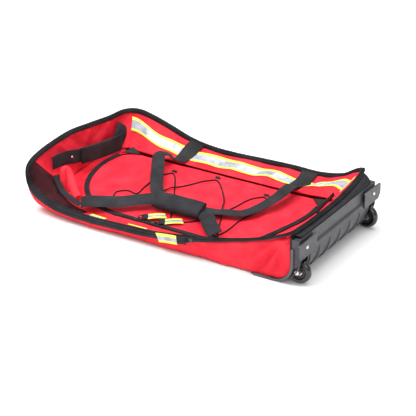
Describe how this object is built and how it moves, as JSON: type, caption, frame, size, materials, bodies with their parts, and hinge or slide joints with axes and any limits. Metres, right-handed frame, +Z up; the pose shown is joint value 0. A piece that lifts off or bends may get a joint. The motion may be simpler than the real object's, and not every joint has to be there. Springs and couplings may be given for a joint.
{
  "type": "collapsible wheeled gear bag",
  "caption": "Red wheeled gear bag folded flat, with a zipped lid, reflective tape, webbing carry handles, bungee lacing, and a moulded wheel base at one end.",
  "frame": {"origin": "on the floor under the middle of the bag's bounding box", "axes": "+X to the wheel end, +Y to the far side where the lid is hinged, +Z up"},
  "size_m": [0.8712, 0.4526, 0.1755],
  "materials": {
    "red_fabric": "coated woven polyester, matt",
    "zip_black": "woven zip tape with nylon coil",
    "black_webbing": "woven webbing",
    "mesh_lining": "knitted mesh",
    "reflective": "retroreflective tape with yellow edges",
    "grey_plastic": "moulded, finely grained",
    "board": "stiff sheet",
    "tyre": "hard polyurethane, glossy",
    "steel": "bright plated",
    "elastic": "braided sleeve"
  },
  "bodies": {
    "bag": {"bottom_panel": "red_fabric", "near_side_wall": "red_fabric", "head_end_wall": "red_fabric", "far_side_wall": "red_fabric", "far_upper_wall": "red_fabric", "near_upper_wall": "red_fabric", "head_upper_wall": "red_fabric", "wheel_end_upper_wall": "red_fabric", "top_panel": "red_fabric", "wheel_end_wall": "zip_black", "rim_zip": "zip_black", "lid_zip_bag_half": "zip_black", "far_wall_strap_left": "black_webbing", "far_wall_strap_right": "black_webbing", "corner_mesh_gusset": "mesh_lining", "far_reflective_tape": "reflective", "near_reflective_tape": "reflective", "wheel_base": "grey_plastic", "wheel_bracket_near": "grey_plastic", "wheel_bracket_far": "grey_plastic", "corner_guard_near": "grey_plastic", "corner_guard_far": "grey_plastic", "wheel_fork_near": "grey_plastic", "wheel_fork_far": "grey_plastic", "base_board": "board", "bracket_rivet_near": "steel", "bracket_rivet_far": "steel", "axle_near": "steel", "axle_far": "steel"},
    "near_wheel": {"tyre_near": "tyre", "wheel_hub_near": "grey_plastic", "wheel_bearing_near": "steel"},
    "far_wheel": {"tyre_far": "tyre", "wheel_hub_far": "grey_plastic", "wheel_bearing_far": "steel"},
    "lid": {"lid_panel": "red_fabric", "lid_zip_lid_half": "zip_black", "bungee_cord": "elastic", "cord_lock": "zip_black", "far_carry_handle": "black_webbing", "bungee_loop_near_left": "black_webbing", "bungee_loop_far_left": "black_webbing", "bungee_loop_near_middle": "black_webbing", "bungee_loop_far_right": "black_webbing", "bungee_loop_near_right": "black_webbing", "bungee_loop_far_middle": "black_webbing"},
    "near_handle": {"near_carry_handle": "black_webbing", "handle_wrap": "black_webbing"},
    "left_slider": {"lid_slider_left": "steel"},
    "right_slider": {"lid_slider_right": "steel"},
    "left_tab": {"lid_tab_left": "reflective"},
    "right_tab": {"lid_tab_right": "reflective"},
    "rim_slider_body": {"rim_slider": "steel"},
    "rim_tab_body": {"rim_tab": "reflective"},
    "head_handle": {"head_handle_webbing": "black_webbing", "head_handle_grip": "black_webbing", "head_handle_rivet": "steel"},
    "wheel_end_handle_body": {"wheel_end_handle": "black_webbing"}
  },
  "joints": [
    {"name": "near_wheel_spin", "type": "hinge", "parent": "bag", "child": "near_wheel", "pos_m": [0.4, -0.185, 0.0333], "axis": [0, 1, 0], "continuous": true},
    {"name": "far_wheel_spin", "type": "hinge", "parent": "bag", "child": "far_wheel", "pos_m": [0.4, 0.185, 0.0333], "axis": [0, 1, 0], "continuous": true},
    {"name": "lid_open", "type": "hinge", "parent": "bag", "child": "lid", "pos_m": [0, 0.13, 0.07], "axis": [-1, 0, 0], "range_deg": [0, 70], "deforming": ["far_carry_handle"]},
    {"name": "near_handle_swing", "type": "hinge", "parent": "bag", "child": "near_handle", "pos_m": [-0.07, -0.182, 0.0475], "axis": [0.9998, -0.01, 0.0156], "range_deg": [0, 170], "deforming": ["near_carry_handle", "handle_wrap"]},
    {"name": "left_slider_slide", "type": "slide", "parent": "lid", "child": "left_slider", "axis": [-1, 0, 0], "range_m": [0, 0.09]},
    {"name": "right_slider_slide", "type": "slide", "parent": "lid", "child": "right_slider", "axis": [1, 0, 0], "range_m": [0, 0.1]},
    {"name": "left_tab_swing", "type": "hinge", "parent": "left_slider", "child": "left_tab", "pos_m": [-0.0915, -0.167, 0.0479], "axis": [0.515, -0.8572, 0], "range_deg": [0, 140]},
    {"name": "right_tab_swing", "type": "hinge", "parent": "right_slider", "child": "right_tab", "pos_m": [-0.0385, -0.167, 0.0462], "axis": [0.515, -0.8572, 0], "range_deg": [0, 140]},
    {"name": "rim_slider_slide", "type": "slide", "parent": "bag", "child": "rim_slider_body", "axis": [0.9826, 0, 0.1857], "range_m": [-0.03, 0.03]},
    {"name": "rim_tab_swing", "type": "hinge", "parent": "rim_slider_body", "child": "rim_tab_body", "pos_m": [0.0965, -0.2268, 0.0535], "axis": [0, 1, 0], "range_deg": [0, 120]},
    {"name": "head_handle_swing", "type": "hinge", "parent": "bag", "child": "head_handle", "pos_m": [-0.3835, 0.009, 0.1065], "axis": [-0.1299, -0.9895, 0.0635], "range_deg": [0, 75], "deforming": ["head_handle_webbing", "head_handle_grip"]},
    {"name": "wheel_end_handle_swing", "type": "hinge", "parent": "bag", "child": "wheel_end_handle_body", "pos_m": [0.3335, 0.0715, 0.0975], "axis": [0.0629, -0.996, -0.0628], "range_deg": [0, 60], "deforming": ["wheel_end_handle"]}
  ],
  "couplings": [
    {"joint": "near_handle_swing", "follows": "lid_open", "ratio": 2.4},
    {"joint": "left_slider_slide", "follows": "lid_open", "m_per_rad": 0.073},
    {"joint": "right_slider_slide", "follows": "lid_open", "m_per_rad": 0.081}
  ]
}
